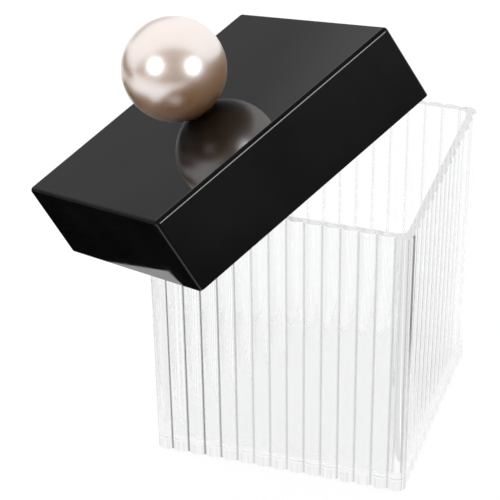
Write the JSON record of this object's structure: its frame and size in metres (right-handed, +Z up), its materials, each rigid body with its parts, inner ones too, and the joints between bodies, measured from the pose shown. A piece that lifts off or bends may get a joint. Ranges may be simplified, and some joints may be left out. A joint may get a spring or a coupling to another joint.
{
  "type": "cotton swab box",
  "caption": "Square clear ribbed box that holds cotton swabs upright, with a glossy black slip-over lid lifted by a round pearl knob and shown taken off and tilted.",
  "frame": {"origin": "middle of the underside of the clear box, where it stands", "axes": "+Z up out of the box's mouth; -Y out of the box's front face, towards the low side of the picture; +X to the right seen from the front"},
  "size_m": [0.1036, 0.1403, 0.1477],
  "materials": {
    "clear_plastic": "water-clear moulded plastic, polished, slightly uneven inside the ribs",
    "black_plastic": "mirror-gloss black moulded plastic",
    "pearl_coat": "pearlescent champagne coat with a soft gloss",
    "bush_brass": "turned",
    "zinc_steel": "bright zinc plated"
  },
  "bodies": {
    "box": {"box_body": "clear_plastic"},
    "lid": {"lid_shell": "black_plastic", "pearl_knob": "pearl_coat", "knob_bush": "bush_brass", "knob_washer": "zinc_steel", "knob_screw": "zinc_steel"}
  },
  "joints": [
    {"name": "lid_lift", "type": "slide", "parent": "box", "child": "lid", "axis": [0, 0, 1], "range_m": [0, 0.06]}
  ]
}
